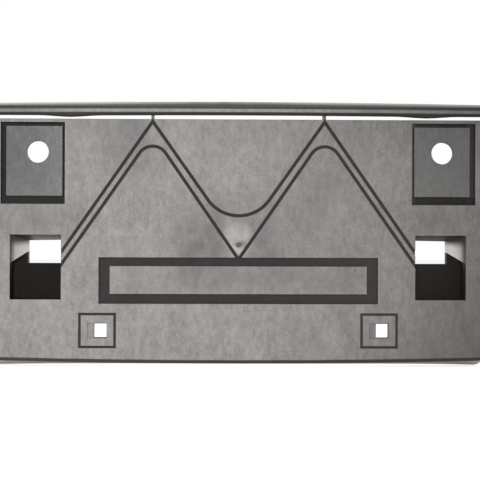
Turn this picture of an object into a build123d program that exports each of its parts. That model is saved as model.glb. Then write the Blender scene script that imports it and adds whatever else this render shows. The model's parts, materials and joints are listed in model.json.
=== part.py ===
from build123d import *

import math
import os

# Number plate holder: one injection-moulded bracket that carries a 12 x 6 inch plate in front of a bumper.
# The face is modelled with its top edge at Z 0 and its front skin at Y 0, with +X to the right of a viewer
# and +Y going back to the bumper. At the end the part is moved so that its origin is midway between the two
# bumper bolts, on the floor of their pads.

# Walls of the moulding, in millimetres like every length here
wall = 2.5
channel_wall = 2.2
rib_wall = 2.0

# Face skin, below the slit
face_width = 318.0
face_height = 153.9
bottom_rise = 2.3
bottom_corner_radius = 8.0
face_edge_round = 2.6

# Skirts, which widen towards the bumper by drafts in degrees
# The rise of the bottom edge's ends is lost at a depth, and behind that depth the ends hang lower
side_draft = 3.1
bottom_draft = 4.2
top_draft = 1.6
rise_end_depth = 20.0

# Bumper surface that the skirts are cut to
bumper_radius = 1200.0
middle_depth = 14.0

# Lip along the top, which holds the top edge of the plate: a bead in front, and a roof that leans back from it
slit = 2.2
lip_height = 8.8
lip_fall = 1.45
lip_sag = 0.4
lip_reach = 6.0
lip_wall = 2.6
lip_corner_radius = 5.0
bead_height = 5.8
bead_top_round = 1.5
bead_bottom_round = 2.2
bead_end_round = 1.2
roof_set_back = 2.4
roof_lean = 50.0
pinch_offset = 112.0
pinch_shift = 6.0
pinch_width = 40.0
pinch_drop = 1.0
web_offset = 54.2
web_drop = 16.0
web_depth = 11.0

# Bumper bolts and their pads
bolt_spacing = 255.5
bolt_shift = 1.2
bolt_hole_diameter = 13.8
bolt_drop = 20.8
boss_diameter = 26.0
boss_bore = 20.0
boss_floor = 5.0
pad_inward = 18.3
pad_outward = 21.8
pad_above = 18.6
pad_below = 32.8
pad_band_inner = 1.6
pad_band_outer = 3.2
pad_band_top = 2.3
pad_band_bottom = 5.1
pad_recess = 2.0
pad_channel_depth = 7.0

# Windows under the bolts, with tunnels that narrow towards the bumper
window_width = 32.0
window_height = 40.7
window_drop = 73.0
window_outer_lean = 26.0
window_top_lean = 9.5
window_inner_lean = 1.0
window_bottom_lean = 1.0
window_sill_drop = 18.0
window_cheek_rise = 20.0

# Zigzag of two grooves, with the apexes at the webs and the valley on the middle line
groove_width = 2.0
groove_depth = 2.4
upper_apex_drop = 1.5
upper_valley_drop = 78.1
upper_valley_radius = 23.7
upper_end_drop = 84.2
lower_apex_drop = 9.6
lower_apex_radius = 9.9
lower_valley_drop = 88.2
lower_end_drop = 92.0

# Long rectangular channel
frame_length = 176.0
frame_height = 29.1
frame_drop = 87.2
frame_band_end = 6.9
frame_band_top = 5.4
frame_band_bottom = 6.1
frame_depth = 6.0

# Screw pads for the lower edge of the plate, seven inches apart
screw_spacing = 177.8
screw_drop = 133.2
screw_pad_width = 23.6
screw_pad_height = 22.2
screw_line_width = 1.5
screw_line_depth = 1.2
screw_recess_width = 12.0
screw_recess_height = 9.6
screw_recess_depth = 1.0
screw_hole_width = 7.7
screw_hole_height = 8.6
screw_hole_shift = 2.0
screw_boss_rim = 3.0
screw_boss_depth = 6.5

# Mark of the moulding gate
gate_drop = 79.2
gate_diameter = 3.0
gate_depth = 0.6

# Places that follow from the sizes above
bolt_x = bolt_spacing / 2
screw_x = screw_spacing / 2
window_inner = bolt_x - window_width / 2
window_outer = bolt_x + window_width / 2
window_bottom = -window_drop - window_height
window_sill = -window_drop - window_sill_drop
lip_low = slit - lip_sag
bead_top = slit + bead_height
pad_edges = (bolt_x - pad_inward, bolt_x + pad_outward, -bolt_drop - pad_below, pad_above - bolt_drop)
pad_bands = (pad_band_inner, pad_band_outer, pad_band_bottom, pad_band_top)
frame_edges = (-frame_length / 2, frame_length / 2, -frame_drop - frame_height, -frame_drop)
frame_bands = (frame_band_end, frame_band_end, frame_band_bottom, frame_band_top)

# Room that a cut runs past what it cuts, and how close counts as the same place
past = 5.0
close = 0.01

# Smallest round inside a corner
least_round = 0.5


def bumper_depth(x):
    """Gives how far behind the face the bumper lies, at a distance from the middle line."""
    return middle_depth + bumper_radius - math.sqrt(bumper_radius**2 - x**2)


seat_depth = bumper_depth(bolt_x - abs(bolt_shift) - boss_diameter / 2)
rear_depth = bumper_depth(face_width / 2) + past


def bumper(grow):
    """Makes the bumper as a solid that the back of the moulding is cut to, or one that is a wall thicker."""
    return Pos(0, middle_depth + bumper_radius, 0) * Cylinder(bumper_radius + grow, 4 * face_height)


def lean(depth, degrees):
    """Gives how far a wall that leans by an angle has gone sideways at a depth."""
    return depth * math.tan(math.radians(degrees))


def slab(sketch, front, back):
    """Extrudes a sketch of the front view from one depth behind the face to another."""
    return extrude(Plane.XZ.offset(-front) * sketch, amount=front - back)


def block(left, right, bottom, top):
    """Draws a rectangle of the front view by its edges."""
    return Pos((left + right) / 2, (bottom + top) / 2) * Rectangle(right - left, top - bottom)


def both_sides(right):
    """Gives a solid of the right half together with its mirror image."""
    return [right, mirror(right, about=Plane.YZ)]


def at_bolts(right):
    """Gives a solid at the right bolt together with its mirror image at the left bolt."""
    return [Pos(bolt_shift, 0, 0) * solid for solid in both_sides(right)]


def bow(start, middle, end):
    """Draws a shallow curve between two ends, by its height on the middle line."""
    return Bezier(start, (0, 2 * middle - (start[1] + end[1]) / 2), end)


def outline(depth, inset):
    """Draws the moulding's edge at a depth, or a line that lies inside it by an inset."""
    half = face_width / 2 + lean(depth, side_draft) - inset
    top = slit + lip_height + lean(depth, top_draft) - inset
    top_end = top - lip_fall
    bottom = -face_height - lean(depth, bottom_draft) + inset
    bottom_end = bottom + bottom_rise * (1 - depth / rise_end_depth)
    crown = bow((-half, top_end), top, (half, top_end))
    base = bow((half, bottom_end), bottom, (-half, bottom_end))
    right = Line((half, top_end), (half, bottom_end))
    left = Line((-half, bottom_end), (-half, top_end))
    plain = make_face([crown, right, base, left])
    upper = plain.vertices().group_by(Axis.Y)[-1]
    shaped = fillet(upper, max(lip_corner_radius - inset, least_round))
    lower = shaped.vertices().group_by(Axis.Y)[0]
    return fillet(lower, max(bottom_corner_radius - inset, least_round))


def tapered(front, back, inset):
    """Lofts the moulding's form between two depths."""
    sections = [Plane.XZ.offset(-depth) * outline(depth, inset) for depth in (front, back)]
    return loft(sections, ruled=True)


def pinch(middle, first, last):
    """Draws one shallow bulge of the lip's lower edge, between two slopes, from left to right."""
    start = (middle - pinch_width / 2, lip_low)
    lowest = (middle, lip_low - pinch_drop)
    end = (middle + pinch_width / 2, lip_low)
    return Spline(start, lowest, end, tangents=[(1, first), (1, last)])


def lip_bar():
    """Makes a long bar with the lip's lower edge, which sags a little and pinches the plate at two places."""
    side = face_width
    start = pinch_width / 2 - pinch_offset + pinch_shift
    end = pinch_offset - pinch_width / 2 + pinch_shift
    crest = Bezier((start, lip_low), ((start + end) / 2, lip_low + 2 * lip_sag), (end, lip_low))
    slope = 4 * lip_sag / (end - start)
    left = pinch(pinch_shift - pinch_offset, 0, slope)
    right = pinch(pinch_shift + pinch_offset, -slope, 0)
    runs = [Line((-side, lip_low), left @ 0), crest, Line(right @ 1, (side, lip_low))]
    rest = Polyline((side, lip_low), (side, bead_top), (-side, bead_top), (-side, lip_low))
    bar = slab(make_face([left, right, *runs, rest]), -lip_reach, wall)
    nose = bar.faces().sort_by(Axis.Y)[0].edges()
    upper = nose.filter_by(lambda edge: edge.bounding_box().min.Z > bead_top - close)
    bar = fillet(upper, bead_top_round)
    nose = bar.faces().sort_by(Axis.Y)[0].edges()
    lower = nose.filter_by(lambda edge: edge.bounding_box().max.Z < slit + close)
    return fillet(lower, bead_bottom_round)


def side_view(corners):
    """Makes a bar across the whole width from corners of the side view, each a depth and a height."""
    section = make_face(Polyline(*corners, close=True))
    return extrude(Plane.YZ.offset(-face_width) * section, amount=2 * face_width)


def before_roof(thickness, level):
    """Makes what lies in front of the lip's roof, or of its inner side, above a level."""
    front = -lip_reach - past
    high = slit + 2 * lip_height
    foot = roof_set_back - lip_reach + thickness / math.cos(math.radians(roof_lean))
    low_end = (foot + lean(level - bead_top, roof_lean), level)
    high_end = (foot + lean(high - bead_top, roof_lean), high)
    return side_view([(front, level), low_end, high_end, (front, high)])


def shell():
    """Makes the skin, the skirts and the lip, with the slit open to the back."""
    blank = tapered(-lip_reach, rear_depth, 0)
    blank = fillet(blank.faces().sort_by(Axis.Y)[0].edges(), bead_end_round)
    blank -= before_roof(0, bead_top)
    front = slab(block(-face_width, face_width, -2 * face_height, bead_top), -lip_reach - past, 0)
    body = blank - (front - lip_bar())
    rim = body.edges().filter_by(lambda edge: abs(edge.bounding_box().max.Y) < close)
    body = fillet(rim.filter_by(lambda edge: edge.bounding_box().min.Z < 0), face_edge_round)
    inside = tapered(lip_wall - lip_reach, rear_depth + past, wall) - before_roof(wall, bead_top - wall)
    skin = slab(block(-face_width, face_width, -2 * face_height, 0), -lip_reach, wall)
    return body - (inside - skin)


def inside_edges(edges, bands):
    """Gives the edges (left, right, bottom, top) of what a band of given widths leaves in the middle."""
    left, right, bottom, top = edges
    return left + bands[0], right - bands[1], bottom + bands[2], top - bands[3]


def channel_back(edges, bands, depth, island_depth):
    """Makes the wall behind a channel, and behind the island that it runs around."""
    walls = (channel_wall,) * 4
    left, right, bottom, top = inside_edges(edges, [-width for width in walls])
    hollow = inside_edges(inside_edges(edges, bands), walls)
    cover = slab(block(left, right, bottom, min(top, 0)), wall / 2, depth + channel_wall)
    return cover - slab(block(*hollow), island_depth + wall, depth + channel_wall + past)


def channel_cut(edges, bands, depth, island_depth):
    """Makes what a channel and a sunken island take out of the front."""
    island = block(*inside_edges(edges, bands))
    return slab(block(*edges) - island, -past, depth) + slab(island, -past, island_depth)


def webs():
    """Makes the two ribs that tie the lip to the face across the slit."""
    rib = block(web_offset - rib_wall / 2, web_offset + rib_wall / 2, -web_drop, slit + lip_height)
    return both_sides(slab(rib, wall / 2, web_depth))


def bolt_bosses():
    """Makes the rings behind the pads that seat on the bumper, and the cross ribs that stiffen them."""
    left, right, bottom, top = pad_edges
    floor = pad_recess + wall / 2
    ring = slab(Pos(bolt_x, -bolt_drop) * Circle(boss_diameter / 2), floor, seat_depth)
    level = block(left, right, -bolt_drop - rib_wall / 2, -bolt_drop + rib_wall / 2)
    upright = block(bolt_x - rib_wall / 2, bolt_x + rib_wall / 2, bottom, top)
    cross = slab(level + upright, floor, pad_channel_depth + channel_wall)
    bore = slab(Pos(bolt_x, -bolt_drop) * Circle(boss_bore / 2), pad_recess + boss_floor, seat_depth + past)
    return at_bolts(ring + cross - bore)


def bolt_holes():
    """Makes the holes for the bumper bolts."""
    hole = Pos(bolt_x, -bolt_drop) * Circle(bolt_hole_diameter / 2)
    return at_bolts(slab(hole, -past, seat_depth + past))


def tunnel(front, back, grow, outer_lean):
    """Lofts the window's tunnel between two depths, or its outside, further out by a wall."""
    sections = []
    for depth in (front, back):
        inner = window_inner + lean(depth, window_inner_lean) - grow
        outer = window_outer - lean(depth, outer_lean) + grow
        bottom = window_bottom + lean(depth, window_bottom_lean) - grow
        top = -window_drop - lean(depth, window_top_lean) + grow
        sections.append(Plane.XZ.offset(-depth) * block(inner, outer, bottom, top))
    return loft(sections, ruled=True)


def under_cheek(grow):
    """Makes all that lies under the lower edges of the windows' cheeks, which rise towards the back."""
    back = rear_depth + past
    start = (-past, window_sill - lean(past, window_cheek_rise) + grow)
    end = (back, window_sill + lean(back, window_cheek_rise) + grow)
    return side_view([start, end, (back, -2 * face_height), (-past, -2 * face_height)])


def window_tunnels():
    """Makes the walls around the windows, as solid blocks: a tunnel with a slanting cheek, and a pocket."""
    passage = tunnel(wall / 2, rear_depth, channel_wall, window_outer_lean)
    pocket = tunnel(wall / 2, rear_depth, channel_wall, window_inner_lean)
    return both_sides(passage + (pocket & under_cheek(channel_wall)))


def window_voids():
    """Makes the open space of the windows: a passage above the sill, and a pocket down to a floor below it."""
    behind_floor = bumper(channel_wall)
    below_sill = slab(block(0, face_width / 2, -face_height, window_sill), -past, rear_depth + past)
    passage = tunnel(-past, rear_depth + past, 0, window_outer_lean) - (below_sill & behind_floor)
    pocket = tunnel(-past, rear_depth, 0, window_inner_lean) - behind_floor
    return both_sides(passage + (pocket & under_cheek(0)))


def zigzag(apex_drop, valley_drop, end_drop, apex_radius, valley_radius, width):
    """Draws one line of the zigzag, from one window up and down to the other, at a width."""
    fall = (end_drop - apex_drop) / (window_inner - web_offset)
    end_x = window_inner + groove_width
    end_z = -apex_drop - fall * (end_x - web_offset)
    apex_z = -apex_drop
    valley = (0, -valley_drop)
    points = [(-end_x, end_z), (-web_offset, apex_z), valley, (web_offset, apex_z), (end_x, end_z)]
    path = FilletPolyline(*points, radius=[apex_radius, valley_radius, apex_radius])
    return trace(path, line_width=width)


def zigzag_lines(width):
    """Draws both lines of the zigzag."""
    upper = zigzag(upper_apex_drop, upper_valley_drop, upper_end_drop, 0, upper_valley_radius, width)
    lower = zigzag(lower_apex_drop, lower_valley_drop, lower_end_drop, lower_apex_radius, 0, width)
    return [upper, lower]


def zigzag_back():
    """Makes the ridges behind the grooves."""
    lines = zigzag_lines(groove_width + 2 * channel_wall)
    below_slit = slab(block(-face_width, face_width, -face_height, 0), 0, rear_depth)
    return [slab(line, wall / 2, groove_depth + channel_wall) & below_slit for line in lines]


def zigzag_cuts():
    """Makes what the grooves take out of the front."""
    return [slab(line, -past, groove_depth) for line in zigzag_lines(groove_width)]


def screw_bosses():
    """Makes the blocks behind the screw holes that the plastic nuts clip into."""
    half_width = screw_hole_width / 2 + screw_boss_rim
    half_height = screw_hole_height / 2 + screw_boss_rim
    rim = Rectangle(2 * half_width, 2 * half_height)
    centres = [side * screw_x + screw_hole_shift for side in (-1, 1)]
    return [slab(Pos(x, -screw_drop) * rim, wall / 2, screw_boss_depth) for x in centres]


def screw_cuts():
    """Makes the thin line around each screw pad, its shallow recess and its square hole."""
    line = Rectangle(screw_pad_width, screw_pad_height)
    line -= Rectangle(screw_pad_width - 2 * screw_line_width, screw_pad_height - 2 * screw_line_width)
    recess = Rectangle(screw_recess_width, screw_recess_height)
    hole = Pos(screw_hole_shift, 0) * Rectangle(screw_hole_width, screw_hole_height)
    cuts = []
    for side in (-1, 1):
        place = Pos(side * screw_x, -screw_drop)
        cuts.append(slab(place * line, -past, screw_line_depth))
        cuts.append(slab(place * recess, -past, screw_recess_depth))
        cuts.append(slab(place * hole, -past, screw_boss_depth + past))
    return cuts


def stiffeners():
    """Makes the ribs behind the face that tie pads, windows, channel and skirts together."""
    half = rib_wall / 2
    level = -window_drop - window_height / 2
    below_frame = block(web_offset - half, web_offset + half, -2 * face_height, frame_edges[2])
    below_pad = block(bolt_x - half, bolt_x + half, -window_drop, pad_edges[2])
    beside_window = block(window_outer, face_width, level - half, level + half)
    places = (below_frame, below_pad, beside_window)
    ribs = [slab(place, wall / 2, frame_depth + channel_wall) for place in places]
    return [solid for rib in ribs for solid in both_sides(rib)]


def plate_holder():
    """Puts the moulding together: skin and skirts, what stands behind, what is cut from the front."""
    pad_back = channel_back(pad_edges, pad_bands, pad_channel_depth, pad_recess)
    frame_back = channel_back(frame_edges, frame_bands, frame_depth, 0)
    behind = [*both_sides(pad_back), frame_back, *zigzag_back()]
    behind += [*webs(), *bolt_bosses(), *window_tunnels(), *screw_bosses(), *stiffeners()]
    within = tapered(wall / 2, rear_depth, wall / 2)
    body = shell() + [solid & within for solid in behind] - bumper(0)
    pad_cut = channel_cut(pad_edges, pad_bands, pad_channel_depth, pad_recess)
    frame_cut = channel_cut(frame_edges, frame_bands, frame_depth, 0)
    gate = slab(Pos(0, -gate_drop) * Circle(gate_diameter / 2), -past, gate_depth)
    cuts = [*both_sides(pad_cut), frame_cut, *zigzag_cuts(), *screw_cuts(), gate]
    body -= [*cuts, *bolt_holes(), *window_voids()]
    return Pos(-bolt_shift, -pad_recess, bolt_drop) * body


holder = plate_holder()
count = len(holder.solids())
print("plate_holder:", round(holder.volume), "cubic mm,", count, "solid, valid", holder.is_valid)
os.makedirs("parts", exist_ok=True)
export_step(holder, "parts/plate_holder.step")
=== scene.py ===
# %% [markdown]
# # A moulded number plate holder
#
# The real thing is one piece of grey plastic, shot into a steel mould. It bolts to a bumper and carries a
# number plate on its flat face. The CAD frame already has the true shape and size, so this lesson is about
# surfaces: soft edges, the finish of each area, and a calm studio around them.
#
# The frame comes first. It says where the face and the windows lie. All lengths are in metres, as in the
# frame, and MM turns millimetres into them.

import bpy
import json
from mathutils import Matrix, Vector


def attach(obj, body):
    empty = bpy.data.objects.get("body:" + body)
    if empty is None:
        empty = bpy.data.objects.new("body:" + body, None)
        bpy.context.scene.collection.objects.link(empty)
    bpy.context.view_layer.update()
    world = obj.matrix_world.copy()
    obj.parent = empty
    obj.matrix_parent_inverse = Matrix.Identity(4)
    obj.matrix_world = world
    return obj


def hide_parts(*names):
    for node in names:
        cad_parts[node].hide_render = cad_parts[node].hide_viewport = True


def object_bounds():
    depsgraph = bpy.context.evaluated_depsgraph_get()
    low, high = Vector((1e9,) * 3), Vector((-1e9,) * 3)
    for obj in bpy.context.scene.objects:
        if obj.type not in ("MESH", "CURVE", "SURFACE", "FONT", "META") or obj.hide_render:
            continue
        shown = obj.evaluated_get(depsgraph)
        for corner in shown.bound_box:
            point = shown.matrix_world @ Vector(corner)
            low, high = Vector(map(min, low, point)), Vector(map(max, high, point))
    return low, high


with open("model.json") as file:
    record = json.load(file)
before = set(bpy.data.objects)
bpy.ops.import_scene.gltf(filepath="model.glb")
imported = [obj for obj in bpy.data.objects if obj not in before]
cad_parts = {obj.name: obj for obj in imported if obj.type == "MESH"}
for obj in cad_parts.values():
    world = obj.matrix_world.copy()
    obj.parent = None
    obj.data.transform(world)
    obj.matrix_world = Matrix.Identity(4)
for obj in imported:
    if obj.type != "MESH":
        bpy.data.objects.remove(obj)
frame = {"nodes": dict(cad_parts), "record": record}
cad_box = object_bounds()
print("CAD box:", [round(value, 4) for corner in cad_box for value in corner])

# %% Read the places that the frame states
import json
import math

import bmesh
import bpy
from mathutils import Vector

MM = 0.001
record = frame["record"]
mounts = {mount["name"]: mount for mount in record["mounts"]}
openings = {opening["name"]: opening["box_m"] for opening in record["physics"]["openings"]}
low, high = cad_box
middle_x, face_y, _ = mounts["plate_face"]["pos_m"]
pocket_low, pocket_high = openings["window_pocket_right"]
window_high = openings["window_front_right"][1]
print("Face plane at y", round(face_y, 4), "and middle line at x", round(middle_x, 4))

# %% [markdown]
# ## The moulding
#
# The piece that shows could be modelled anew, but the CAD node already has its form. That node is made of
# loose triangles, has knife-sharp edges, and has to stay as it is, so the piece is a copy of it. Its
# triangles are welded at their corners, because the next step rounds edges and needs to know which faces
# meet there.

# %% Copy and weld the moulding
WELD = 0.001 * MM

cad_node = frame["nodes"]["plate_holder"]
moulding = bpy.data.objects.new("moulded_holder", cad_node.data.copy())
bpy.context.scene.collection.objects.link(moulding)
bpy.ops.object.select_all(action="DESELECT")
moulding.select_set(True)
bpy.context.view_layer.objects.active = moulding
bpy.ops.mesh.customdata_custom_splitnormals_clear()
bpy.ops.object.mode_set(mode="EDIT")
bpy.ops.mesh.select_all(action="SELECT")
bpy.ops.mesh.remove_doubles(threshold=WELD)
bpy.ops.object.mode_set(mode="OBJECT")
print("Welded moulding:", len(moulding.data.vertices), "vertices,", len(moulding.data.polygons), "faces")

# %% [markdown]
# ## Edges that catch the light
#
# No moulded edge that stands out is sharp: the steel tool has a small radius there, and that radius catches
# a thin line of light. Rounding could follow an angle limit alone, but it would then take the inward corners
# too, which nobody sees. So each hard outward edge gets a bevel weight here, and only those are rounded. The
# tiny edges at the slit's ends are left out, because their faces are too small for the radius.

# %% Choose the edges
HARD_EDGE = math.radians(38)
SLIT_END = Vector((150, 5, 10)) * MM


def at_slit_end(edge):
    """Says if an edge lies at one of the slit's ends."""
    middle = (edge.verts[0].co + edge.verts[1].co) / 2
    outside = abs(middle.x - middle_x) > SLIT_END.x
    return outside and middle.y - face_y < SLIT_END.y and middle.z > SLIT_END.z


build = bmesh.new()
build.from_mesh(moulding.data)
edge_weight = build.edges.layers.float.new("bevel_weight_edge")
outward = [edge for edge in build.edges if edge.is_convex and edge.calc_face_angle() > HARD_EDGE]
rounded = [edge for edge in outward if not at_slit_end(edge)]
for edge in rounded:
    edge[edge_weight] = 1.0
print("Outward edges to round:", len(rounded), "of", len(build.edges))
build.to_mesh(moulding.data)
build.free()

# %% [markdown]
# ## Rounding without streaks
#
# A Bevel modifier rounds the weighted edges. Clamping is off, because one short edge would otherwise shrink
# the radius all over. Loop Slide is off too: it lets corners slide along the long thin triangles of the flat
# face, and they would slide far too far.
#
# Smooth shading across a bevel pulls on the flat areas beside it and leaves grey streaks there. So the bevel
# marks its new faces as weak, and a Weighted Normal modifier lets the strong faces win: flat areas shade
# flat.

# %% Round the edges
EDGE_RADIUS = 0.14 * MM
EDGE_STEPS = 2
SMOOTH_ANGLE = math.radians(32)

rounding = moulding.modifiers.new("edge_rounding", "BEVEL")
rounding.width = EDGE_RADIUS
rounding.segments = EDGE_STEPS
rounding.limit_method = "WEIGHT"
rounding.use_clamp_overlap = False
rounding.loop_slide = False
rounding.face_strength_mode = "FSTR_ALL"
bpy.ops.object.modifier_apply(modifier=rounding.name)
bpy.ops.object.shade_smooth_by_angle(angle=SMOOTH_ANGLE)
shading = moulding.modifiers.new("flat_areas", "WEIGHTED_NORMAL")
shading.mode = "FACE_AREA"
shading.keep_sharp = True
shading.use_face_influence = True
bpy.ops.object.modifier_apply(modifier=shading.name)
print("Rounded moulding:", len(moulding.data.vertices), "vertices,", len(moulding.data.polygons), "faces")

# %% [markdown]
# ## Helpers for nodes
#
# An effect that several finishes share is a node group: it is built once, and each material sets its own
# values. A few short helpers keep the node code readable. These add a node, feed a socket, start a group
# with named sockets, and place a group in a material.

# %% Node helpers
def add_node(tree, kind, **settings):
    """Adds one node to a tree and sets its own options."""
    made = tree.nodes.new(kind)
    for name, value in settings.items():
        setattr(made, name, value)
    return made


def feed(tree, socket, value):
    """Gives a socket its value, which is another socket, a number or a colour."""
    if isinstance(value, bpy.types.NodeSocket):
        tree.links.new(value, socket)
    else:
        socket.default_value = value


def start_group(name, inputs, outputs):
    """Starts a shader node group from lists of (socket name, socket type)."""
    group = bpy.data.node_groups.new(name, "ShaderNodeTree")
    for label, kind in inputs:
        group.interface.new_socket(name=label, in_out="INPUT", socket_type=kind)
    for label, kind in outputs:
        group.interface.new_socket(name=label, in_out="OUTPUT", socket_type=kind)
    return group, add_node(group, "NodeGroupInput"), add_node(group, "NodeGroupOutput")


def place_group(tree, group, **values):
    """Places a group in a tree and feeds its inputs by name."""
    made = add_node(tree, "ShaderNodeGroup", node_tree=group)
    for name, value in values.items():
        feed(tree, made.inputs[name], value)
    return made


print("Node helpers ready")

# %% [markdown]
# ## Helpers for sums and colours
#
# A mask is often a small sum, and a tone is a mix of two colours. Wired by hand, each takes many lines, so
# one helper adds a Math node and one adds a Mix node. Colours are written as a picture shows them, from 0 to
# 255, and a third helper turns them into linear light by the standard curve.

# %% Sums and colours
def maths(tree, operation, *values, clamp=False):
    """Adds a Math node over sockets or numbers and gives its result."""
    made = add_node(tree, "ShaderNodeMath", operation=operation, use_clamp=clamp)
    for socket, value in zip(made.inputs, values):
        feed(tree, socket, value)
    return made.outputs[0]


def mix_colours(tree, share, first, second):
    """Adds a Mix node between two colours and gives its result."""
    made = add_node(tree, "ShaderNodeMix", data_type="RGBA")
    sockets = {socket.identifier: socket for socket in made.inputs}
    for name, value in (("Factor_Float", share), ("A_Color", first), ("B_Color", second)):
        feed(tree, sockets[name], value)
    return next(socket for socket in made.outputs if socket.identifier == "Result_Color")


def linear(share):
    """Turns one share of a picture's colour, 0 to 1, into linear light."""
    return share / 12.92 if share <= 0.04045 else ((share + 0.055) / 1.055) ** 2.4


def srgb(red, green, blue):
    """Turns a colour from a picture, 0 to 255, into the linear colour that shaders use."""
    return [linear(value / 255) for value in (red, green, blue)] + [1]


print("A picture's grey of 128 is", round(srgb(128, 128, 128)[0], 3), "in linear light")

# %% [markdown]
# ## Moulded grain
#
# The face was spark-eroded in the mould, which leaves a fine pebbled skin. Modelling each pebble would take
# millions of faces, so a bump does it: Voronoi cells give the pebbles, and a little noise breaks up their
# order. The group only puts out a height, and each material decides how deep it is.

# %% Group for the grain
PEBBLE_SOFTNESS = 0.6
CRUMB_DETAIL = 2.0
CRUMB_SHARE = 0.6

grain_group, grain_in, grain_out = start_group(
    "moulded_grain",
    [("Size", "NodeSocketFloat")],
    [("Height", "NodeSocketFloat")],
)
grain_place = add_node(grain_group, "ShaderNodeTexCoord")
grain_scale = maths(grain_group, "DIVIDE", 1.0, grain_in.outputs["Size"])
pebbles = add_node(grain_group, "ShaderNodeTexVoronoi", feature="SMOOTH_F1")
pebbles.inputs["Smoothness"].default_value = PEBBLE_SOFTNESS
crumbs = add_node(grain_group, "ShaderNodeTexNoise")
crumbs.inputs["Detail"].default_value = CRUMB_DETAIL
for texture in (pebbles, crumbs):
    grain_group.links.new(grain_place.outputs["Object"], texture.inputs["Vector"])
    grain_group.links.new(grain_scale, texture.inputs["Scale"])
domes = maths(grain_group, "SUBTRACT", 1.0, pebbles.outputs["Distance"])
grain_height = maths(grain_group, "MULTIPLY_ADD", crumbs.outputs["Fac"], CRUMB_SHARE, domes)
grain_group.links.new(grain_height, grain_out.inputs["Height"])
print("Grain group:", len(grain_group.nodes), "nodes")

# %% [markdown]
# ## Cloudy tone
#
# Grained plastic never looks one flat colour: it has soft patches, where it was touched or lay in the sun, a
# mottle of a few millimetres, and a fine speckle. One noise with much detail would tie the three together,
# so there are three noises of very different size, each with its own detail and share. They mix a pale and a
# dark tone, and are stretched upwards a little, the way the melt flowed and dust runs down.

# %% Group for the tone
STREAK = (1.0, 1.0, 0.55)
NOISES = (("Patch", 4.0, 0.75), ("Mottle", 2.0, 1.0), ("Speck", 2.0, 0.9))
MIDDLE = 0.5

tone_group, tone_in, tone_out = start_group(
    "cloudy_tone",
    [
        ("Pale", "NodeSocketColor"),
        ("Dark", "NodeSocketColor"),
        ("Patch", "NodeSocketFloat"),
        ("Mottle", "NodeSocketFloat"),
        ("Speck", "NodeSocketFloat"),
        ("Contrast", "NodeSocketFloat"),
    ],
    [("Color", "NodeSocketColor")],
)
tone_place = add_node(tone_group, "ShaderNodeTexCoord")
tone_streak = add_node(tone_group, "ShaderNodeVectorMath", operation="MULTIPLY")
tone_streak.inputs[1].default_value = STREAK
tone_group.links.new(tone_place.outputs["Object"], tone_streak.inputs[0])
swings = []
for size_name, detail, share in NOISES:
    noise = add_node(tone_group, "ShaderNodeTexNoise")
    noise.inputs["Detail"].default_value = detail
    noise_scale = maths(tone_group, "DIVIDE", 1.0, tone_in.outputs[size_name])
    tone_group.links.new(tone_streak.outputs["Vector"], noise.inputs["Vector"])
    tone_group.links.new(noise_scale, noise.inputs["Scale"])
    centred = maths(tone_group, "SUBTRACT", noise.outputs["Fac"], MIDDLE)
    swings.append(maths(tone_group, "MULTIPLY", centred, share))
coarse_swing = maths(tone_group, "ADD", swings[0], swings[1])
whole_swing = maths(tone_group, "ADD", coarse_swing, swings[2])
tone_share = maths(tone_group, "MULTIPLY_ADD", whole_swing, tone_in.outputs["Contrast"], MIDDLE, clamp=True)
tone_mix = mix_colours(tone_group, tone_share, tone_in.outputs["Dark"], tone_in.outputs["Pale"])
tone_group.links.new(tone_mix, tone_out.inputs["Color"])
print("Tone group:", len(tone_group.nodes), "nodes")

# %% [markdown]
# ## Soft marks
#
# A moulding's face has smudges, rings and darker patches, and here also pale patches, which are painted
# highlights. They could be painted in a picture, but a picture needs an image file and a flat map of the
# part. A soft ball of tone around a place does the same, broken up by noise. The group puts out a mask, and
# a finish mixes a colour in by it.

# %% Group for a soft mark
MARK_GRIT_SHARE = 1.4

mark_group, mark_in, mark_out = start_group(
    "soft_mark",
    [("Centre", "NodeSocketVector"), ("Stretch", "NodeSocketVector"), ("Grit", "NodeSocketFloat")],
    [("Mask", "NodeSocketFloat")],
)
mark_place = add_node(mark_group, "ShaderNodeTexCoord")
mark_offset = add_node(mark_group, "ShaderNodeVectorMath", operation="SUBTRACT")
mark_scaled = add_node(mark_group, "ShaderNodeVectorMath", operation="DIVIDE")
mark_ball = add_node(mark_group, "ShaderNodeTexGradient", gradient_type="SPHERICAL")
mark_noise = add_node(mark_group, "ShaderNodeTexNoise")
mark_scale = maths(mark_group, "DIVIDE", 1.0, mark_in.outputs["Grit"])
mark_group.links.new(mark_place.outputs["Object"], mark_offset.inputs[0])
mark_group.links.new(mark_in.outputs["Centre"], mark_offset.inputs[1])
mark_group.links.new(mark_offset.outputs["Vector"], mark_scaled.inputs[0])
mark_group.links.new(mark_in.outputs["Stretch"], mark_scaled.inputs[1])
mark_group.links.new(mark_scaled.outputs["Vector"], mark_ball.inputs["Vector"])
mark_group.links.new(mark_place.outputs["Object"], mark_noise.inputs["Vector"])
mark_group.links.new(mark_scale, mark_noise.inputs["Scale"])
mark_grit = maths(mark_group, "MULTIPLY", mark_noise.outputs["Fac"], MARK_GRIT_SHARE)
mark_mask = maths(mark_group, "MULTIPLY", mark_ball.outputs["Fac"], mark_grit, clamp=True)
mark_group.links.new(mark_mask, mark_out.inputs["Mask"])
print("Mark group:", len(mark_group.nodes), "nodes")
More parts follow.
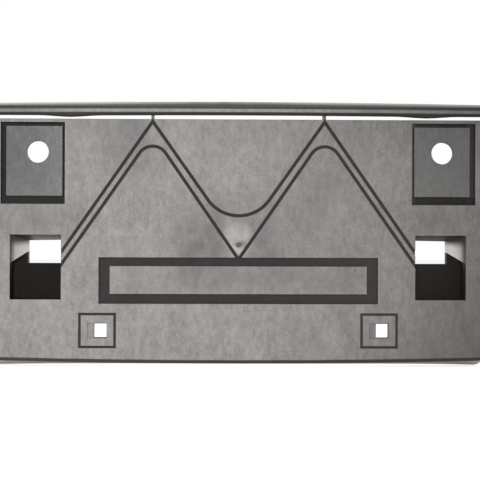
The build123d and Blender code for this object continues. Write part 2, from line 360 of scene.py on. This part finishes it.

# %% [markdown]
# ## Slopes of tone
#
# Many tones change from one side of an area to the other, and most of these slopes are painted light and
# shade: a rounded edge is painted darker as it turns away from the light, and a window's cheek is painted
# paler towards its hole. Splitting an area into strips would show as steps, so this group measures a place
# along an axis and puts out a mask that rises softly from 0 at one level to 1 at another. The lip is bowed,
# highest in the middle, so a slope can be bowed as well.

# %% Group for a slope
slope_group, slope_in, slope_out = start_group(
    "tone_slope",
    [
        ("Axis", "NodeSocketVector"),
        ("Bow", "NodeSocketFloat"),
        ("Start", "NodeSocketFloat"),
        ("End", "NodeSocketFloat"),
    ],
    [("Mask", "NodeSocketFloat")],
)
slope_place = add_node(slope_group, "ShaderNodeTexCoord")
slope_level = add_node(slope_group, "ShaderNodeVectorMath", operation="DOT_PRODUCT")
slope_sides = add_node(slope_group, "ShaderNodeSeparateXYZ")
slope_range = add_node(slope_group, "ShaderNodeMapRange", interpolation_type="SMOOTHSTEP")
slope_group.links.new(slope_place.outputs["Object"], slope_level.inputs[0])
slope_group.links.new(slope_in.outputs["Axis"], slope_level.inputs[1])
slope_group.links.new(slope_place.outputs["Object"], slope_sides.inputs["Vector"])
aside = maths(slope_group, "ABSOLUTE", slope_sides.outputs["X"])
aside_squared = maths(slope_group, "POWER", aside, 2.0)
straight = slope_level.outputs["Value"]
bowed = maths(slope_group, "MULTIPLY_ADD", aside_squared, slope_in.outputs["Bow"], straight)
slope_group.links.new(bowed, slope_range.inputs["Value"])
slope_group.links.new(slope_in.outputs["Start"], slope_range.inputs["From Min"])
slope_group.links.new(slope_in.outputs["End"], slope_range.inputs["From Max"])
slope_group.links.new(slope_range.outputs["Result"], slope_out.inputs["Mask"])
print("Slope group:", len(slope_group.nodes), "nodes")

# %% [markdown]
# ## One function for any finish
#
# All finishes are the same plastic. What differs is how pale the tone is, how coarse and deep the grain is,
# and how rough the skin is. Fourteen materials could be wired one by one, but a function builds any of them
# from these values. Roughness and specular are the same all over a finish, so they sit on the shader itself.

# %% Finish function
MOTTLE_SHARE = 1 / 5
SPECK_SHARE = 1 / 16
BUMP_STRENGTH = 0.6


def make_finish(name, pale, dark, patch, contrast, grain_size, grain_depth, roughness, specular):
    """Builds one plastic finish from its two tones, its grain and its roughness."""
    material = bpy.data.materials.new(name)
    material.use_nodes = True
    tree = material.node_tree
    shader = tree.nodes["Principled BSDF"]
    shader.inputs["Specular IOR Level"].default_value = specular
    shader.inputs["Roughness"].default_value = roughness
    tone = place_group(
        tree, tone_group, Pale=srgb(*pale), Dark=srgb(*dark), Patch=patch, Mottle=patch * MOTTLE_SHARE,
        Speck=patch * SPECK_SHARE, Contrast=contrast)
    grain = place_group(tree, grain_group, Size=grain_size)
    bump = add_node(tree, "ShaderNodeBump")
    bump.inputs["Strength"].default_value = BUMP_STRENGTH
    bump.inputs["Distance"].default_value = grain_depth
    tree.links.new(tone.outputs["Color"], shader.inputs["Base Color"])
    tree.links.new(grain.outputs["Height"], bump.inputs["Height"])
    tree.links.new(bump.outputs["Normal"], shader.inputs["Normal"])
    return material


print("A mottle is", MOTTLE_SHARE, "and a speck", SPECK_SHARE, "of a patch")

# %% [markdown]
# ## Finishes
#
# Each area of the moulding has its row: its name, the pale and the dark tone, the size of the patches, the
# contrast, the size and depth of the grain, the roughness and the specular level. Areas with grain are pale:
# the plastic's grey with painted sheen, for the light that the grain scatters. Smooth radii and deep
# channels
# are nearly black: the plastic's dark with painted shade. The lip's roof, the skirt's underside and the
# window cheeks are painted light, and the window tunnels and ceilings are painted shade.

# %% Make the finishes
FINISH_ROWS = (
    ("grained_face", (174, 170, 168), (134, 131, 129), 15 * MM, 1.15, 0.6 * MM, 0.05 * MM, 0.62, 0.3),
    ("sunken_face", (166, 162, 160), (128, 125, 123), 15 * MM, 1.15, 0.6 * MM, 0.05 * MM, 0.62, 0.3),
    ("pad_floor", (136, 136, 134), (98, 98, 97), 12 * MM, 1.4, 0.5 * MM, 0.03 * MM, 0.55, 0.3),
    # gate_mark: the gate's dimple, painted darker with shade in its small pit
    ("gate_mark", (98, 97, 94), (84, 83, 81), 12 * MM, 0.9, 0.5 * MM, 0.03 * MM, 0.55, 0.3),
    ("channel", (62, 58, 57), (46, 44, 43), 14 * MM, 0.9, 0.5 * MM, 0.03 * MM, 0.6, 0.2),
    ("pad_channel", (50, 48, 46), (36, 34, 33), 14 * MM, 0.9, 0.5 * MM, 0.03 * MM, 0.6, 0.15),
    ("lip_front", (174, 170, 168), (134, 131, 129), 15 * MM, 1.15, 0.6 * MM, 0.05 * MM, 0.62, 0.3),
    # lip_roof: pale for a painted highlight on the roof's crown; a slope paints shade at the bead
    ("lip_roof", (232, 228, 220), (212, 208, 200), 16 * MM, 0.8, 0.5 * MM, 0.03 * MM, 0.6, 0.25),
    ("skirt", (190, 187, 184), (158, 155, 153), 18 * MM, 0.8, 0.6 * MM, 0.05 * MM, 0.62, 0.3),
    # under_skirt: pale for painted light from below
    ("under_skirt", (232, 228, 216), (212, 208, 198), 18 * MM, 0.8, 0.6 * MM, 0.05 * MM, 0.62, 0.3),
    # window_cheek is pale for painted light; window_deep and window_roof are dark for painted shade
    ("window_cheek", (230, 225, 218), (202, 197, 190), 14 * MM, 0.8, 0.5 * MM, 0.03 * MM, 0.6, 0.3),
    ("window_deep", (48, 46, 44), (36, 34, 33), 14 * MM, 0.9, 0.5 * MM, 0.03 * MM, 0.8, 0.05),
    ("window_roof", (68, 66, 59), (58, 56, 50), 14 * MM, 0.9, 0.5 * MM, 0.03 * MM, 0.7, 0.1),
    ("plain_back", (128, 126, 124), (100, 98, 97), 26 * MM, 0.9, 0.5 * MM, 0.02 * MM, 0.5, 0.35),
)
finishes = {row[0]: make_finish(*row) for row in FINISH_ROWS}
print("Finishes:", ", ".join(finishes))

# %% [markdown]
# ## Putting a mark on a finish
#
# A finish can carry any number of marks, one over the other, like coats of paint. So a mark is mixed in
# between the tone that a finish has so far and its shader, where the mark's mask is strong. Places are
# measured from a point of the face plane, on its middle line and level with the bolt holes.

# %% Mark helpers
FACE_ORIGIN = Vector((middle_x, face_y, 0))


def tint(material, mask, strength, colour):
    """Mixes a colour into a finish where a mask is strong."""
    tree = material.node_tree
    base = tree.nodes["Principled BSDF"].inputs["Base Color"]
    share = maths(tree, "MULTIPLY", mask, strength, clamp=True)
    tree.links.new(mix_colours(tree, share, base.links[0].from_socket, srgb(*colour)), base)


def add_mark(name, centre, stretch, grit, colour, strength):
    """Puts a soft mark on a finish, with its place and sizes in millimetres from the face's origin."""
    material = finishes[name]
    place = Vector(centre) * MM + FACE_ORIGIN
    mark = place_group(
        material.node_tree, mark_group, Centre=place, Stretch=Vector(stretch) * MM, Grit=grit * MM)
    tint(material, mark.outputs["Mask"], strength, colour)


print("Marks are placed from", [round(value, 4) for value in FACE_ORIGIN])

# %% [markdown]
# ## Smudges, shades and a painted highlight at the gate
#
# At the gate, where the molten plastic came in, a pale highlight is painted on the face, with two lobes and
# a pale tip, and there is a grey ring. Darker smudges lie round the painted highlight and on the island in
# the long channel. Softer shades lie between the bolt pads and the windows and by the tops of the zigzag.
# The bolt pads are darker at places, and the middle of the lip is grubby.
#
# Each mark is one row: its centre, its half-widths, the size of its grit, its colour and its strength.

# %% Put the marks on
WIDE_SMUDGE = ((-4, 0, -40), (62, 30, 24), 10, (112, 112, 110), 0.5)
LEFT_SMUDGE = ((-22, 0, -60), (28, 30, 34), 9, (94, 94, 92), 1.0)
RIGHT_SMUDGE = ((18, 0, -60), (18, 30, 28), 9, (100, 100, 98), 0.9)
ISLAND_SMUDGE = ((0, 0, -80.9), (120, 20, 16), 7, (120, 118, 116), 0.8)
# Painted highlight: the pale middle, lobes and tip at the gate in the next four rows
GATE_HIGHLIGHT = ((0, 0, -57), (11, 14, 14), 4, (204, 202, 198), 0.75)
HIGHLIGHT_LEFT = ((-4.4, 0, -51.6), (7, 14, 10), 4, (204, 202, 198), 0.8)
HIGHLIGHT_RIGHT = ((5.6, 0, -51.4), (5, 14, 8), 4, (204, 202, 198), 0.6)
HIGHLIGHT_TIP = ((-0.4, 0, -61), (4, 14, 5), 4, (204, 202, 198), 0.8)
GATE_RING = ((1.0, 0, -57.8), (5.5, 14, 3.4), 4, (84, 84, 82), 1.1)
LEFT_SHADE = ((-132, 0, -43), (48, 30, 20), 12, (108, 107, 105), 0.8)
RIGHT_SHADE = ((130, 0, -43), (40, 30, 20), 12, (98, 97, 95), 0.4)
APEX_SHADE = ((-68, 0, 1), (28, 30, 36), 12, (112, 112, 110), 0.8)
RIGHT_CLOUD = ((51, 0, -30), (50, 30, 80), 14, (116, 115, 113), 0.5)
# Darker places on the bolt pads, beside and round their holes
LEFT_PAD_PATCH = ((-139, 2, -5), (30, 20, 40), 8, (88, 90, 89), 1.0)
RIGHT_PAD_PATCH = ((129, 2, -4), (22, 20, 26), 8, (96, 97, 96), 0.8)
LIP_SMUDGE = ((-10, -3, 31), (75, 40, 40), 30, (70, 68, 64), 0.9)

SMUDGES = (WIDE_SMUDGE, LEFT_SMUDGE, RIGHT_SMUDGE, ISLAND_SMUDGE)
GATE_MARKS = (GATE_HIGHLIGHT, HIGHLIGHT_LEFT, HIGHLIGHT_RIGHT, HIGHLIGHT_TIP, GATE_RING)
SHADES = (LEFT_SHADE, RIGHT_SHADE, APEX_SHADE, RIGHT_CLOUD)
MARKS = {
    "grained_face": SMUDGES + GATE_MARKS + SHADES,
    "pad_floor": (LEFT_PAD_PATCH, RIGHT_PAD_PATCH),
    "lip_roof": (LIP_SMUDGE,),
}
for name, rows in MARKS.items():
    for row in rows:
        add_mark(name, *row)
    print("Marks on", name + ":", len(rows))

# %% [markdown]
# ## Slopes on the face and the lip
#
# The lower right corner of the face is a little darker, and so are both ends of the lip: painted half shade.
# The rounded edges of both turn away from the light at once, so they are painted nearly black as shade. The
# lip's bead shows a pale stripe between a dark top and a darker underside, painted shade, and its roof is
# painted dark with shade at the bead and pale further up, a painted highlight.
#
# Lamps alone could give some of this, but not on radii of a tenth of a millimetre, so slopes do it. Each
# span is a pair of levels along an axis: the slope starts at the first and is full at the second.

# %% Slopes on the face and the lip
RIGHTWARDS = Vector((1, 0, 0))
BACKWARDS = Vector((0, 1, 0))
UPWARDS = Vector((0, 0, 1))
# Painted half shade on the lower right corner of the face and on both ends of the lip
CORNER_SPAN = (195 * MM, 260 * MM)
CORNER_SHADE_TONE = (104, 102, 100)
CORNER_STRENGTH = 0.42
LIP_LEFT_SPAN = (-90 * MM, -140 * MM)
LIP_LEFT_SHADE_TONE = (112, 110, 106)
LIP_LEFT_STRENGTH = 0.45
LIP_RIGHT_SPAN = (50 * MM, 140 * MM)
LIP_RIGHT_SHADE_TONE = (108, 106, 104)
LIP_RIGHT_STRENGTH = 0.35
# Painted shade on the rounded edges and on the top and underside of the lip's bead
ROUND_DEPTH = 0.07 * MM
ROUND_SHADE_TONE = (64, 62, 57)
STRIPE_TOP_SPAN = (26.65 * MM, 27.35 * MM)
STRIPE_BOTTOM_SPAN = (25.3 * MM, 24.6 * MM)
STRIPE_BOW = 0.025
UNDER_SHADE_TONE = (46, 45, 40)
BEAD_TOP = 28.8 * MM
# Painted shade on the lip's roof at the bead
ROOF_SPAN = (BEAD_TOP + 3.2 * MM, BEAD_TOP + 0.3 * MM)
ROOF_BOW = 0.057
ROOF_SHADE_TONE = (64, 62, 58)


def add_slope(name, axis, span, colour, strength=1.0, bow=0.0):
    """Lets a finish turn into a colour over a span of levels along an axis."""
    material = finishes[name]
    start, end = span
    slope = place_group(material.node_tree, slope_group, Axis=axis, Bow=bow, Start=start, End=end)
    tint(material, slope.outputs["Mask"], strength, colour)


for name in ("grained_face", "sunken_face"):
    add_slope(name, RIGHTWARDS - UPWARDS, CORNER_SPAN, CORNER_SHADE_TONE, CORNER_STRENGTH)
add_slope("lip_front", RIGHTWARDS, LIP_LEFT_SPAN, LIP_LEFT_SHADE_TONE, LIP_LEFT_STRENGTH)
add_slope("lip_front", RIGHTWARDS, LIP_RIGHT_SPAN, LIP_RIGHT_SHADE_TONE, LIP_RIGHT_STRENGTH)
for name, front in (("grained_face", face_y), ("lip_front", low.y)):
    add_slope(name, BACKWARDS, (front, front + ROUND_DEPTH), ROUND_SHADE_TONE)
add_slope("lip_front", UPWARDS, STRIPE_TOP_SPAN, ROUND_SHADE_TONE, bow=STRIPE_BOW)
add_slope("lip_front", UPWARDS, STRIPE_BOTTOM_SPAN, UNDER_SHADE_TONE, bow=STRIPE_BOW)
add_slope("lip_roof", UPWARDS, ROOF_SPAN, ROOF_SHADE_TONE, bow=ROOF_BOW)
print("The lip's stripe runs from z", STRIPE_BOTTOM_SPAN[1], "to", STRIPE_TOP_SPAN[1], "at mid-width")

# %% [markdown]
# ## Slopes in the windows
#
# In each window a slanting cheek leads to the hole and catches light from behind, and that light is painted
# on it: it is palest at the back, with painted shade dark at the mouth, dark under the ceiling, and black
# below its lower edge. The right one is paler. The ceilings are painted darkest with shade at the mouth, and
# their painted light changes from the left window to the right one.
#
# A lamp in each tunnel would do this too, but it would not come along in the exported model. Slopes do.

# %% Slopes in the windows
LEFT_TO_RIGHT = (0.0, 120 * MM)
# Painted light on the cheeks and on parts of the ceilings; painted shade at the mouths, under the ceilings,
# below the cheeks' edges and in the tunnels
RIGHT_CHEEK_TONE = (255, 252, 246)
CHEEK_DULL_SPAN = (face_y + 14 * MM, face_y + 4 * MM)
CHEEK_DULL_TONE = (170, 165, 154)
CHEEK_DULL_STRENGTH = 0.5
CHEEK_MOUTH_SPAN = (face_y + 7 * MM, face_y + 1 * MM)
CHEEK_MOUTH_TONE = (62, 58, 50)
CHEEK_TOP_SPAN = (-60.2 * MM, -54.9 * MM)
CHEEK_TOP_TONE = (72, 70, 62)
SILL = -70.2 * MM
CHEEK_RISE = math.tan(math.radians(20))
UNDER_CHEEK = BACKWARDS * CHEEK_RISE - UPWARDS
CHEEK_EDGE = face_y * CHEEK_RISE - SILL
CHEEK_EDGE_SPAN = (CHEEK_EDGE, CHEEK_EDGE + 0.4 * MM)
CHEEK_EDGE_TONE = (44, 42, 40)
LEFT_CEILING_SPAN = (-134 * MM, -130 * MM)
LEFT_CEILING_TONE = (166, 162, 148)
RIGHT_CEILING_SPAN = (-20 * MM, 20 * MM)
RIGHT_CEILING_TONE = (110, 105, 97)
FAR_CEILING_SPAN = (128 * MM, 132 * MM)
FAR_CEILING_TONE = (70, 68, 62)
CEILING_MOUTH_SPAN = (face_y + 14 * MM, face_y + 2 * MM)
CEILING_MOUTH_TONE = (30, 29, 25)
CEILING_MOUTH_STRENGTH = 0.55
RIGHT_DEEP_TONE = (66, 63, 60)
RIGHT_DEEP_STRENGTH = 0.9

add_slope("window_cheek", RIGHTWARDS, LEFT_TO_RIGHT, RIGHT_CHEEK_TONE)
add_slope("window_cheek", BACKWARDS, CHEEK_DULL_SPAN, CHEEK_DULL_TONE, CHEEK_DULL_STRENGTH)
add_slope("window_cheek", BACKWARDS, CHEEK_MOUTH_SPAN, CHEEK_MOUTH_TONE)
add_slope("window_cheek", UPWARDS, CHEEK_TOP_SPAN, CHEEK_TOP_TONE)
add_slope("window_cheek", UNDER_CHEEK, CHEEK_EDGE_SPAN, CHEEK_EDGE_TONE)
add_slope("window_roof", RIGHTWARDS, LEFT_CEILING_SPAN, LEFT_CEILING_TONE)
add_slope("window_roof", RIGHTWARDS, RIGHT_CEILING_SPAN, RIGHT_CEILING_TONE)
add_slope("window_roof", RIGHTWARDS, FAR_CEILING_SPAN, FAR_CEILING_TONE)
add_slope("window_roof", BACKWARDS, CEILING_MOUTH_SPAN, CEILING_MOUTH_TONE, CEILING_MOUTH_STRENGTH)
add_slope("window_deep", RIGHTWARDS, LEFT_TO_RIGHT, RIGHT_DEEP_TONE, RIGHT_DEEP_STRENGTH)
print("The cheeks' lower edges meet the face plane at z", SILL)

# %% [markdown]
# ## Slopes on the pads and in the channels
#
# The right half of the holder has paler channels and a paler bolt pad. In the right pad's own channel the
# inner side is palest, as painted light, the middle is darker, the outer side is between them, and the lower
# band is darkest. Each could have a finish of its own, but they differ in tone alone, so steep slopes at
# their places do.

# %% Slopes on the pads and in the channels
RIGHT_PAD_TONE = (150, 149, 147)
RIGHT_PAD_STRENGTH = 0.3
RIGHT_CHANNEL_TONE = (92, 87, 85)
RIGHT_CHANNEL_STRENGTH = 0.6
INNER_SIDE_SPAN = (0.0, 100 * MM)
INNER_SIDE_TONE = (126, 121, 118)
PAD_MIDDLE_SPAN = (109.5 * MM, 112 * MM)
PAD_MIDDLE_TONE = (84, 79, 77)
OUTER_SIDE_SPAN = (143.6 * MM, 144.2 * MM)
OUTER_SIDE_TONE = (100, 95, 93)
LOWER_BAND_SPAN = (-26.8 * MM, -28.0 * MM)
LOWER_BAND_TONE = (46, 44, 42)
LOWER_BAND_STRENGTH = 0.5

add_slope("pad_floor", RIGHTWARDS, LEFT_TO_RIGHT, RIGHT_PAD_TONE, RIGHT_PAD_STRENGTH)
add_slope("channel", RIGHTWARDS, LEFT_TO_RIGHT, RIGHT_CHANNEL_TONE, RIGHT_CHANNEL_STRENGTH)
# Painted light on the inner side of the right pad's channel
add_slope("pad_channel", RIGHTWARDS, INNER_SIDE_SPAN, INNER_SIDE_TONE)
add_slope("pad_channel", RIGHTWARDS, PAD_MIDDLE_SPAN, PAD_MIDDLE_TONE)
add_slope("pad_channel", RIGHTWARDS, OUTER_SIDE_SPAN, OUTER_SIDE_TONE)
add_slope("pad_channel", UPWARDS, LOWER_BAND_SPAN, LOWER_BAND_TONE, LOWER_BAND_STRENGTH)
print("Nodes in the pad channel's finish:", len(finishes["pad_channel"].node_tree.nodes))

# %% [markdown]
# ## Which surface gets which finish
#
# Each face of the mesh needs one of the finishes. By hand they would be picked in edit mode, but there are
# thousands, so rules tell a face by its place and by the way it points. The windows come first: a cheek
# faces inwards and a little forward, a ceiling faces down, and the rest of the tunnel is deep and dark.

# %% Rules in the windows
WINDOW_WALL = 1.0 * MM
WINDOW_RISE = 4.0 * MM
BACK_FACING = 0.2
DOWN_FACING = -0.5
CHEEK_LEAN = math.radians(26)
CHEEK_NORMAL = Vector((-math.cos(CHEEK_LEAN), -math.sin(CHEEK_LEAN), 0))
CHEEK_MATCH = 0.98


def in_window(across, z):
    """Says if a place on the front view, by its distance from the middle line, lies in a window."""
    beside = pocket_low[0] - middle_x - WINDOW_WALL < across < pocket_high[0] - middle_x + WINDOW_WALL
    return beside and pocket_low[2] - WINDOW_WALL < z < window_high[2] + WINDOW_RISE


def window_finish(side, normal):
    """Names the finish of a face in a window: a cheek painted pale with light, under a ceiling and in a
    tunnel painted dark with shade.
    """
    if normal.y > BACK_FACING:
        return "plain_back"
    if Vector((normal.x * side, normal.y, normal.z)).dot(CHEEK_NORMAL) > CHEEK_MATCH:
        return "window_cheek"
    return "window_roof" if normal.z < DOWN_FACING else "window_deep"


print("Windows lie between", round(pocket_low[2], 4), "and", round(window_high[2], 4), "in z")

# %% [markdown]
# ## Sunken areas and the rim
#
# Below the skin there are shallow floors, the floors of the bolt pads, and dark channels. Their depths tell
# them apart, and names set in the CAD model could do so too, but a mesh doesn't keep those. The gate left a
# small round dimple. At the outer rim the face rounds over into the skirt, whose underside is painted paler,
# as painted light from below.

# %% Rules for sunken areas and the rim
LINE_DEPTH = 1.1 * MM
PAD_DEPTH = 2.0 * MM
SAME_DEPTH = 0.12 * MM
RIM_ROUND = 2.7 * MM
PAD_INNER = 108.0 * MM
PAD_BOTTOM = -34.0 * MM
GATE_Z = -58.4 * MM
GATE_REACH = 2.0 * MM
FRONT_FACING = -0.9


def sunken_finish(across, z, depth, normal):
    """Names the finish of a face below the skin: shallow floor, pad floor, or a dark channel."""
    if math.hypot(across, z - GATE_Z) < GATE_REACH:
        return "gate_mark"
    if normal.y < FRONT_FACING and depth < LINE_DEPTH:
        return "sunken_face"
    if normal.y < FRONT_FACING and abs(depth - PAD_DEPTH) < SAME_DEPTH:
        return "pad_floor"
    return "pad_channel" if across > PAD_INNER and z > PAD_BOTTOM else "channel"


def rim_finish(depth, normal):
    """Names the finish at the outer rim: the rounded edge of the face, or the skirt behind it."""
    if depth < RIM_ROUND:
        return "grained_face"
    # The skirt's underside gets a finish painted pale, as painted light from below
    return "under_skirt" if normal.z < DOWN_FACING else "skirt"


print("Bolt pads lie", PAD_DEPTH, "deep, and the gate is at z", GATE_Z)

# %% [markdown]
# ## Front or back
#
# What is left is the face, the lip, the skirts and the back. A ray sent forward from a face says if it is
# open to the front: if nothing is in the way, it belongs to the front, and otherwise to the back. A ray is
# used because place and direction can't tell a channel's floor from the back of a rib.

# %% Rule for any face
SKIN = 0.15 * MM
STEP_OFF = 0.03 * MM
SIDE_RIM = 151.0 * MM
BOTTOM_RIM = -127.5 * MM
ROOF_FACING = -0.3
SIDE_FACING = 0.6
FORWARD = Vector((0, -1, 0))


def finish_of(face):
    """Names the finish of one face of the moulding."""
    x, y, z = face.center
    normal = face.normal
    depth = y - face_y
    across = abs(x - middle_x)
    side = math.copysign(1, x - middle_x)
    if in_window(across, z) and depth > SKIN:
        return window_finish(side, normal)
    if moulding.ray_cast(face.center + normal * STEP_OFF, FORWARD)[0]:
        return "plain_back"
    if across > SIDE_RIM and abs(normal.x) > SIDE_FACING:
        return "skirt"
    if z > BEAD_TOP - SKIN:
        return "lip_roof" if normal.y < ROOF_FACING else "skirt"
    if depth < -SKIN:
        return "lip_front"
    if depth < SKIN:
        return "grained_face"
    if across > SIDE_RIM or z < BOTTOM_RIM:
        return rim_finish(depth, normal)
    return sunken_finish(across, z, depth, normal)


print("The first face is", finish_of(moulding.data.polygons[0]))

# %% [markdown]
# ## Dressing the moulding
#
# The mesh gets one material slot for each finish, and each face the number of its slot. One mesh with many
# slots is better than a mesh for each area, because the areas share their edges. The CAD node is then
# hidden, and this piece rides on the root body.

# %% Sort the faces
names = list(finishes)
moulding.data.materials.clear()
for name in names:
    moulding.data.materials.append(finishes[name])
counts = dict.fromkeys(names, 0)
for face in moulding.data.polygons:
    chosen = finish_of(face)
    counts[chosen] += 1
    face.material_index = names.index(chosen)
print("Faces of each finish:", counts)

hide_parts("plate_holder")
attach(moulding, "root")

# %% [markdown]
# ## Floor
#
# The holder stands on a pale floor in front of white. A bright lamp could bleach the floor, but it would
# bleach the holder too. So the floor glows a little for the camera, which makes it read as white paper and
# still keeps the shadow. Rays that only carry light see a plain pale floor.

# %% Floor
FLOOR_SIZE = 12.0
FLOOR_TONE = 0.8
FLOOR_GLOW = 0.74


def seen_rays(tree):
    """Gives a value of 1 for rays that show the surface itself: from the camera, a reflection or glass."""
    path = add_node(tree, "ShaderNodeLightPath")
    seen = maths(tree, "MAXIMUM", path.outputs["Is Camera Ray"], path.outputs["Is Glossy Ray"])
    return maths(tree, "MAXIMUM", seen, path.outputs["Is Transmission Ray"])


bpy.ops.object.select_all(action="DESELECT")
bpy.ops.mesh.primitive_plane_add(size=FLOOR_SIZE, location=(0, 0, low.z))
floor = bpy.context.active_object
floor.name = "studio_floor"
paper = bpy.data.materials.new("studio_paper")
paper.use_nodes = True
tree = paper.node_tree
paper_shader = tree.nodes["Principled BSDF"]
paper_shader.inputs["Base Color"].default_value = (FLOOR_TONE, FLOOR_TONE, FLOOR_TONE, 1)
paper_shader.inputs["Roughness"].default_value = 1.0
paper_shader.inputs["Specular IOR Level"].default_value = 0.0
paper_shader.inputs["Emission Color"].default_value = (1, 1, 1, 1)
glow = maths(tree, "MULTIPLY", seen_rays(tree), FLOOR_GLOW)
tree.links.new(glow, paper_shader.inputs["Emission Strength"])
floor.data.materials.append(paper)
print("Floor at z", round(low.z, 4))

# %% [markdown]
# ## World light
#
# The backdrop is the world itself: white where it is seen, and a weak even light for all else. A white wall
# would do as well, but it would show its edges in views from other sides.

# %% World light
AMBIENT = 0.24

world = bpy.data.worlds.new("studio_world")
bpy.context.scene.world = world
world.use_nodes = True
tree = world.node_tree
background = tree.nodes["Background"]
background.inputs["Color"].default_value = (1, 1, 1, 1)
strength = maths(tree, "MULTIPLY_ADD", seen_rays(tree), 1 - AMBIENT, AMBIENT)
tree.links.new(strength, background.inputs["Strength"])
print("World ambient", AMBIENT)

# %% [markdown]
# ## Lamps
#
# The key is a soft spot from beside the camera. An area lamp would light both ends alike, but the spot is
# aimed left of the middle, so the right end falls into half shade. A weak lamp above lights the top. Two
# more behind light the back, and they reach the slanting cheeks through the windows.

# %% Lamps
KEY_PLACE = Vector((middle_x - 0.10, face_y - 1.25, 0.02))
KEY_TARGET = Vector((middle_x - 0.08, face_y, -0.05))
KEY_REACH = 0.262
KEY_BLEND = 0.835
KEY_SOFTNESS = 0.10
KEY_POWER = 36.0
TOP_PLACE = Vector((middle_x - 0.3, face_y - 0.25, 1.3))
TOP_SIZE = 1.0
TOP_POWER = 5.5
BACK_PLACE = Vector((0.95, 0.85, 0.15))
BACK_MIRRORED = Vector((-BACK_PLACE.x, BACK_PLACE.y, BACK_PLACE.z))
BACK_SIZE = 0.5
BACK_POWER = 8.0


def aim(lamp, target):
    """Turns a lamp towards a place."""
    lamp.rotation_euler = (target - lamp.location).to_track_quat("-Z", "Y").to_euler()


bpy.ops.object.light_add(type="SPOT", location=KEY_PLACE)
key = bpy.context.active_object
key.name = "key_light"
key.data.energy = KEY_POWER
key.data.shadow_soft_size = KEY_SOFTNESS
key.data.spot_size = 2 * math.atan(KEY_REACH / (KEY_TARGET - KEY_PLACE).length)
key.data.spot_blend = KEY_BLEND
aim(key, KEY_TARGET)
for name, place, size, power in (
    ("top_light", TOP_PLACE, TOP_SIZE, TOP_POWER),
    ("back_light_right", BACK_PLACE, BACK_SIZE, BACK_POWER),
    ("back_light_left", BACK_MIRRORED, BACK_SIZE, BACK_POWER),
):
    bpy.ops.object.light_add(type="AREA", location=place)
    lamp = bpy.context.active_object
    lamp.name = name
    lamp.data.shape = "DISK"
    lamp.data.size = size
    lamp.data.energy = power
    aim(lamp, (low + high) / 2)
print("Key", KEY_POWER, "W, top", TOP_POWER, "W, back lamps", BACK_POWER, "W each")

# %% [markdown]
# ## Camera
#
# The view is almost straight on, from a little to the left, and from far enough that the sides hardly open
# up. The picture is square, and its edges cut off both ends of the holder a little. So the lens is worked
# out from the width that the picture shows at the face.

# %% Camera
CAMERA_DISTANCE = 1.1
VIEW_WIDTH = 302.4 * MM
VIEW_CENTRE = (middle_x + 0.9 * MM, -55.2 * MM)
VIEW_ROLL = math.radians(-0.17)
VIEW_TURN = math.radians(-1.4)
SENSOR_WIDTH = 36.0

camera_x = VIEW_CENTRE[0] + CAMERA_DISTANCE * math.tan(VIEW_TURN)
camera_place = (camera_x, face_y - CAMERA_DISTANCE, VIEW_CENTRE[1])
bpy.ops.object.camera_add(location=camera_place, rotation=(math.pi / 2, VIEW_ROLL, VIEW_TURN))
camera = bpy.context.active_object
camera.name = "photo_camera"
camera.data.sensor_width = SENSOR_WIDTH
camera.data.lens = SENSOR_WIDTH * CAMERA_DISTANCE / VIEW_WIDTH
bpy.context.scene.camera = camera
bpy.context.scene.view_settings.view_transform = "Standard"
print("Camera", round(camera.data.lens, 1), "mm lens")
